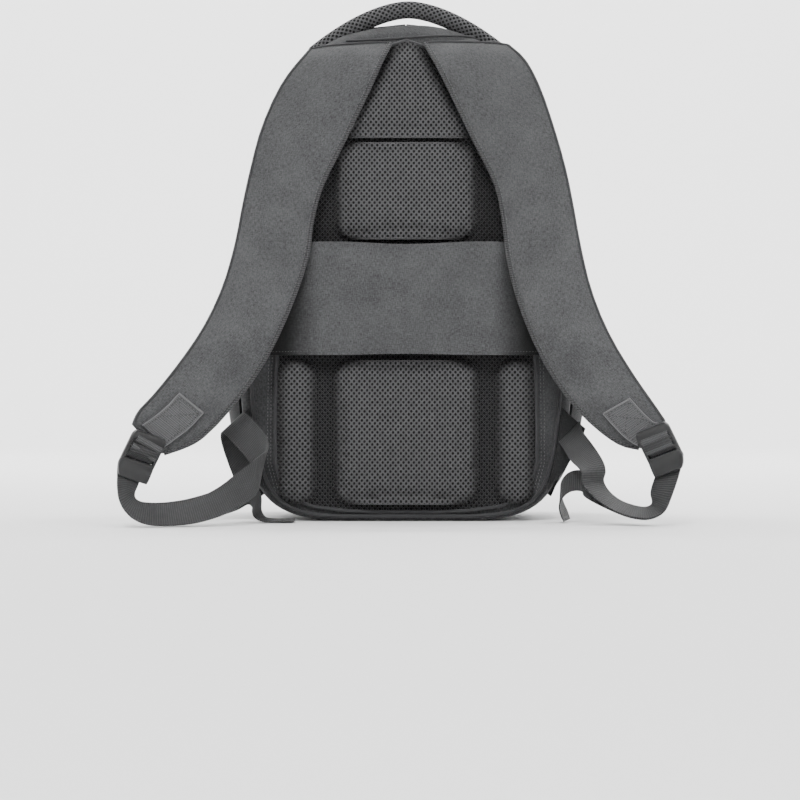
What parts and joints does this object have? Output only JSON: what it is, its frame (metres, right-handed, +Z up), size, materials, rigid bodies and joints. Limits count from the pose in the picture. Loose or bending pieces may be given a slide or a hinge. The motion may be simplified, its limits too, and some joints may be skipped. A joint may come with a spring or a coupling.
{
  "type": "laptop backpack",
  "caption": "Standing laptop backpack with padded mesh back, luggage sleeve, curved shoulder straps, ladder buckles with loose webbing, side pockets and a padded grab handle.",
  "frame": {"origin": "middle of the flat base, on the middle plane, under the middle of the body's depth", "axes": "+Z up, +Y towards the front of the bag, -Y towards the wearer, +X to the right of somebody who looks at the back panel"},
  "size_m": [0.5104, 0.3114, 0.4928],
  "materials": {
    "body_fabric": "woven melange polyester, matte",
    "strap_fabric": "woven melange polyester, matte",
    "air_mesh": "open air mesh over dark foam",
    "webbing": "ribbed polyester webbing",
    "binding": "dark grosgrain binding",
    "plastic": "satin moulded acetal",
    "zip": "zip tape with nylon coil"
  },
  "bodies": {
    "root": {"rear_shell": "body_fabric", "front_shell": "body_fabric", "main_zip": "zip", "zip_slider_left": "plastic", "zip_slider_right": "plastic", "front_pocket": "body_fabric", "pocket_zip": "zip", "side_pocket_left": "body_fabric", "side_pocket_right": "body_fabric", "back_panel": "air_mesh", "pad_top": "air_mesh", "pad_middle": "air_mesh", "pad_lower_centre": "air_mesh", "pad_lower_left": "air_mesh", "pad_lower_right": "air_mesh", "panel_piping": "binding", "luggage_sleeve": "strap_fabric", "strap_left": "strap_fabric", "strap_right": "strap_fabric", "patch_left": "webbing", "patch_right": "webbing", "buckle_left": "plastic", "buckle_right": "plastic", "webbing_left": "webbing", "webbing_right": "webbing", "tail_left": "webbing", "tail_right": "webbing", "wing_left": "body_fabric", "wing_right": "body_fabric", "grab_handle": "air_mesh"}
  },
  "joints": []
}
